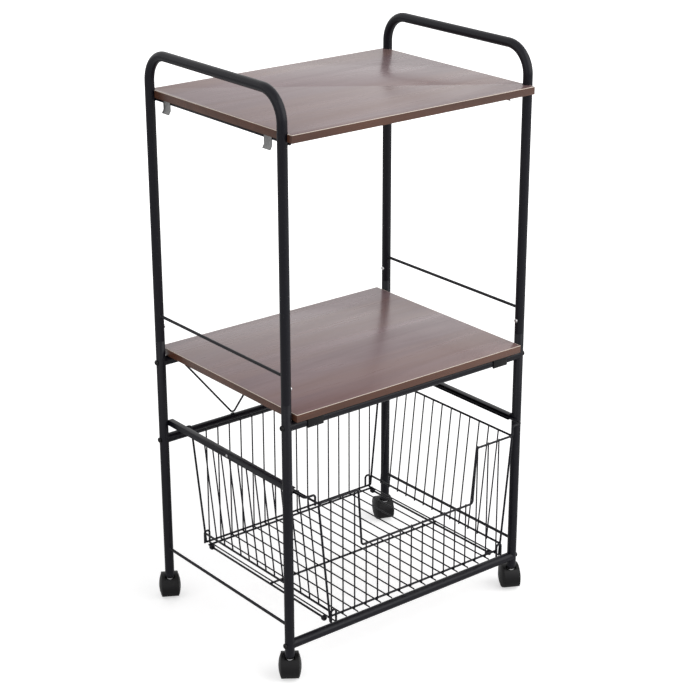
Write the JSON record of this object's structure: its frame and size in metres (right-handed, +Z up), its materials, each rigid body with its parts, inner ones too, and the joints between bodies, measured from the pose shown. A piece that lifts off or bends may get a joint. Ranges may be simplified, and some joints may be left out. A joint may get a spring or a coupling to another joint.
{
  "type": "microwave stand with drawer",
  "caption": "Rolling kitchen stand: tube frame with arched handles, wooden shelves for a microwave and a sliding wire basket drawer.",
  "frame": {"origin": "centre of the footprint at floor level, under the middle of the frame", "axes": "+Z up, +X to the right seen from the front, +Y to the back, so the basket opens towards -Y"},
  "size_m": [0.6376, 0.4999, 1.1615],
  "materials": {
    "frame_paint": "satin black powder coat",
    "wire_paint": "satin black powder coat",
    "bolt_black": "black oxide",
    "board_print": "grey-brown wood print, satin",
    "edge_band": "brown edge band",
    "zinc": "zinc plated",
    "black_plastic": "moulded black"
  },
  "bodies": {
    "stand": {"bottom_rod_left": "frame_paint", "bottom_rod_right": "frame_paint", "caster_sockets": "black_plastic", "crossbar_bolts": "bolt_black", "crossbar_inserts": "zinc", "drawer_rail_left": "frame_paint", "drawer_rail_right": "frame_paint", "frame_joint_screws": "zinc", "front_bottom_bar": "frame_paint", "front_shelf_bar": "frame_paint", "guard_rod_left": "frame_paint", "guard_rod_right": "frame_paint", "lower_post_front_left": "frame_paint", "lower_post_front_right": "frame_paint", "lower_post_rear_left": "frame_paint", "lower_post_rear_right": "frame_paint", "middle_shelf_board": "board_print", "middle_shelf_edge_band": "edge_band", "middle_shelf_saddles": "black_plastic", "rail_rivets": "zinc", "rear_lower_bar": "frame_paint", "rear_shelf_bar": "frame_paint", "rear_zigzag_brace": "frame_paint", "saddle_screws": "zinc", "top_clip_screws": "zinc", "top_shelf_board": "board_print", "top_shelf_clips": "zinc", "top_shelf_edge_band": "edge_band", "top_shelf_rod_left": "frame_paint", "top_shelf_rod_right": "frame_paint", "upper_frame_left": "frame_paint", "upper_frame_right": "frame_paint"},
    "basket": {"basket_floor": "wire_paint", "basket_front_bars_centre": "wire_paint", "basket_front_bars_left": "wire_paint", "basket_front_bars_right": "wire_paint", "basket_front_hooks": "wire_paint", "basket_front_rim": "wire_paint", "basket_rear_hooks": "wire_paint", "basket_rear_panel": "wire_paint", "basket_runner_left": "wire_paint", "basket_runner_right": "wire_paint", "basket_side_panel_left": "wire_paint", "basket_side_panel_right": "wire_paint"},
    "caster_front_left": {"caster_stem_front_left": "zinc", "caster_hood_front_left": "black_plastic", "caster_axle_front_left": "zinc"},
    "wheels_front_left": {"caster_wheels_front_left": "black_plastic"},
    "caster_rear_left": {"caster_stem_rear_left": "zinc", "caster_hood_rear_left": "black_plastic", "caster_axle_rear_left": "zinc"},
    "wheels_rear_left": {"caster_wheels_rear_left": "black_plastic"},
    "caster_front_right": {"caster_stem_front_right": "zinc", "caster_hood_front_right": "black_plastic", "caster_axle_front_right": "zinc"},
    "wheels_front_right": {"caster_wheels_front_right": "black_plastic"},
    "caster_rear_right": {"caster_stem_rear_right": "zinc", "caster_hood_rear_right": "black_plastic", "caster_axle_rear_right": "zinc"},
    "wheels_rear_right": {"caster_wheels_rear_right": "black_plastic"}
  },
  "joints": [
    {"name": "basket_slide", "type": "slide", "parent": "stand", "child": "basket", "axis": [0, -1, 0], "range_m": [0, 0.25]},
    {"name": "swivel_front_left", "type": "hinge", "parent": "stand", "child": "caster_front_left", "pos_m": [-0.2905, -0.2075, 0.05], "axis": [0, 0, 1], "continuous": true},
    {"name": "roll_front_left", "type": "hinge", "parent": "caster_front_left", "child": "wheels_front_left", "pos_m": [-0.28345, -0.19779, 0.025], "axis": [0.809, -0.5878, 0], "continuous": true},
    {"name": "swivel_rear_left", "type": "hinge", "parent": "stand", "child": "caster_rear_left", "pos_m": [-0.2905, 0.2075, 0.05], "axis": [0, 0, 1], "continuous": true},
    {"name": "roll_rear_left", "type": "hinge", "parent": "caster_rear_left", "child": "wheels_rear_left", "pos_m": [-0.2845, 0.21789, 0.025], "axis": [0.866, -0.5, 0], "continuous": true},
    {"name": "swivel_front_right", "type": "hinge", "parent": "stand", "child": "caster_front_right", "pos_m": [0.2905, -0.2075, 0.05], "axis": [0, 0, 1], "continuous": true},
    {"name": "roll_front_right", "type": "hinge", "parent": "caster_front_right", "child": "wheels_front_right", "pos_m": [0.29613, -0.1969, 0.025], "axis": [0.8829, -0.4695, 0], "continuous": true},
    {"name": "swivel_rear_right", "type": "hinge", "parent": "stand", "child": "caster_rear_right", "pos_m": [0.2905, 0.2075, 0.05], "axis": [0, 0, 1], "continuous": true},
    {"name": "roll_rear_right", "type": "hinge", "parent": "caster_rear_right", "child": "wheels_rear_right", "pos_m": [0.2946, 0.21878, 0.025], "axis": [0.9397, -0.342, 0], "continuous": true}
  ]
}
